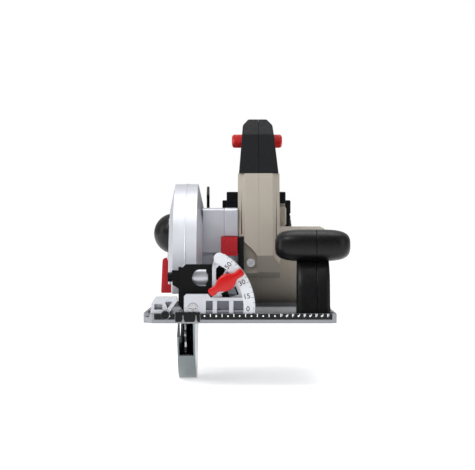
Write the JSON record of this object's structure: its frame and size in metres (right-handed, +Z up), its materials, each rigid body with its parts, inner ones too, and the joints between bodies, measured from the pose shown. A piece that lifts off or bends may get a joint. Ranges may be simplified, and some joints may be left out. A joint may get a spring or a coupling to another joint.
{
  "type": "cordless circular saw",
  "caption": "Cordless circular saw on a bevelling, depth-adjusting base plate, with a sprung lower guard, spindle lock, trigger, lock-off, rip fence tunnel and slide-on battery.",
  "frame": {"origin": "centre of the base plate's underside, the sole that slides on the work", "axes": "+X from the blade to the motor side, +Y from the front edge to the rear, +Z up from the sole"},
  "size_m": [0.18, 0.3074, 0.2394],
  "materials": {
    "cast_silver": "silver cast aluminium with a fine satin grain",
    "plate_steel": "bright plated sheet steel",
    "guard_steel": "grey brushed sheet steel",
    "black_steel": "black coated steel, satin",
    "zinc_steel": "zinc plated fasteners",
    "hardened_steel": "ground steel",
    "blade_steel": "ground saw steel",
    "beige_plastic": "champagne beige moulded plastic with a fine texture",
    "black_rubber": "black soft grip, matt",
    "black_plastic": "black moulded plastic, fine texture",
    "red_plastic": "red moulded plastic",
    "dark_red_plastic": "darker red moulded plastic",
    "scale_black": "black strip with white marks",
    "copper_winding": "enamelled copper",
    "core_steel": "laminated steel",
    "board_green": "circuit board",
    "cell_wrap": "wrapped cells"
  },
  "bodies": {
    "base": {"base_plate": "plate_steel", "front_scale_strip": "scale_black", "sight_guide": "black_plastic", "bevel_quadrant": "cast_silver", "bevel_pivot_screw": "zinc_steel", "bevel_lock_bolt": "zinc_steel", "rear_base_bracket": "zinc_steel", "base_screws": "zinc_steel", "fence_clamp_block": "cast_silver", "aux_handle_left": "black_plastic", "aux_handle_right": "black_plastic"},
    "bevel_lever": {"bevel_lock_lever": "red_plastic"},
    "fence_screw": {"fence_clamp_screw": "black_plastic"},
    "bevel_frame": {"front_bracket": "black_steel", "depth_pivot_pin": "black_steel", "rear_depth_plate": "black_steel", "rear_pivot_rivet": "zinc_steel"},
    "saw": {"upper_guard": "cast_silver", "gear_case": "cast_silver", "gear_case_cover": "cast_silver", "guard_retaining_ring": "zinc_steel", "guard_return_spring": "hardened_steel", "spindle_bearing_outer": "hardened_steel", "spindle_bearing_inner": "hardened_steel", "depth_lock_bolt": "zinc_steel", "dust_port": "black_plastic", "housing_left": "beige_plastic", "housing_right": "beige_plastic", "grip_left": "black_rubber", "grip_right": "black_rubber", "motor_end_cap": "beige_plastic", "housing_screws": "zinc_steel", "stator_core": "core_steel", "stator_coils": "copper_winding", "motor_bearing_front": "hardened_steel", "motor_bearing_rear": "hardened_steel", "switch_module": "black_plastic", "control_module": "board_green", "battery_rail": "black_plastic"},
    "blade": {"spindle": "hardened_steel", "output_gear": "hardened_steel", "lock_plate": "hardened_steel", "inner_flange": "zinc_steel", "saw_blade": "blade_steel", "outer_flange": "zinc_steel", "blade_bolt": "zinc_steel"},
    "rotor": {"motor_shaft": "hardened_steel", "rotor_core": "core_steel", "drive_pinion": "hardened_steel", "cooling_fan": "black_plastic"},
    "lower_guard": {"lower_guard": "guard_steel", "retract_lever": "dark_red_plastic"},
    "depth_lever": {"depth_lock_lever": "black_plastic"},
    "spindle_lock": {"spindle_lock_button": "dark_red_plastic"},
    "lock_off": {"lock_off_button": "red_plastic"},
    "trigger": {"trigger": "black_plastic"},
    "battery": {"battery_tub": "black_plastic", "battery_lid": "black_plastic", "battery_cells": "cell_wrap"},
    "battery_latch": {"battery_latch": "red_plastic"}
  },
  "joints": [
    {"name": "bevel", "type": "hinge", "parent": "base", "child": "bevel_frame", "pos_m": [-0.0401, -0.127, 0.0131], "axis": [0, -1, 0], "range_deg": [0, 50]},
    {"name": "cutting_depth", "type": "hinge", "parent": "bevel_frame", "child": "saw", "pos_m": [-0.04, -0.117, 0.039], "axis": [1, 0, 0], "range_deg": [0, 24]},
    {"name": "blade_spin", "type": "hinge", "parent": "saw", "child": "blade", "pos_m": [-0.0483, -0.015, 0.0296], "axis": [1, 0, 0], "continuous": true},
    {"name": "rotor_spin", "type": "hinge", "parent": "saw", "child": "rotor", "pos_m": [0, 0.009, 0.0476], "axis": [1, 0, 0], "continuous": true},
    {"name": "lower_guard_swing", "type": "hinge", "parent": "saw", "child": "lower_guard", "pos_m": [-0.0483, -0.015, 0.0296], "axis": [1, 0, 0], "range_deg": [0, 110], "stiffness_Nm_per_rad": 0.1, "springref_deg": -68.75},
    {"name": "bevel_lever_turn", "type": "hinge", "parent": "base", "child": "bevel_lever", "pos_m": [-0.01158, -0.14, 0.03506], "axis": [0, -1, 0], "range_deg": [0, 70]},
    {"name": "fence_screw_turn", "type": "hinge", "parent": "base", "child": "fence_screw", "pos_m": [-0.0635, -0.145, 0.0073], "axis": [0, 1, 0], "range_deg": [0, 360]},
    {"name": "depth_lever_swing", "type": "hinge", "parent": "saw", "child": "depth_lever", "pos_m": [-0.025, 0.06792, 0.03351], "axis": [1, 0, 0], "range_deg": [0, 60]},
    {"name": "spindle_lock_press", "type": "slide", "parent": "saw", "child": "spindle_lock", "axis": [0, 1, 0], "range_m": [0, 0.004], "stiffness_N_per_m": 400, "springref_m": -0.004},
    {"name": "lock_off_slide", "type": "slide", "parent": "saw", "child": "lock_off", "axis": [1, 0, 0], "range_m": [-0.0035, 0.0035], "stiffness_N_per_m": 400},
    {"name": "trigger_press", "type": "slide", "parent": "saw", "child": "trigger", "axis": [0, 0.4818, 0.8763], "range_m": [0, 0.0055], "stiffness_N_per_m": 500, "springref_m": -0.004},
    {"name": "battery_slide", "type": "slide", "parent": "saw", "child": "battery", "axis": [0, 1, 0], "range_m": [0, 0.09]},
    {"name": "latch_press", "type": "slide", "parent": "battery", "child": "battery_latch", "axis": [0, 0, -1], "range_m": [0, 0.0046], "stiffness_N_per_m": 500, "springref_m": -0.004}
  ],
  "couplings": [
    {"joint": "rotor_spin", "follows": "blade_spin", "ratio": -3}
  ]
}
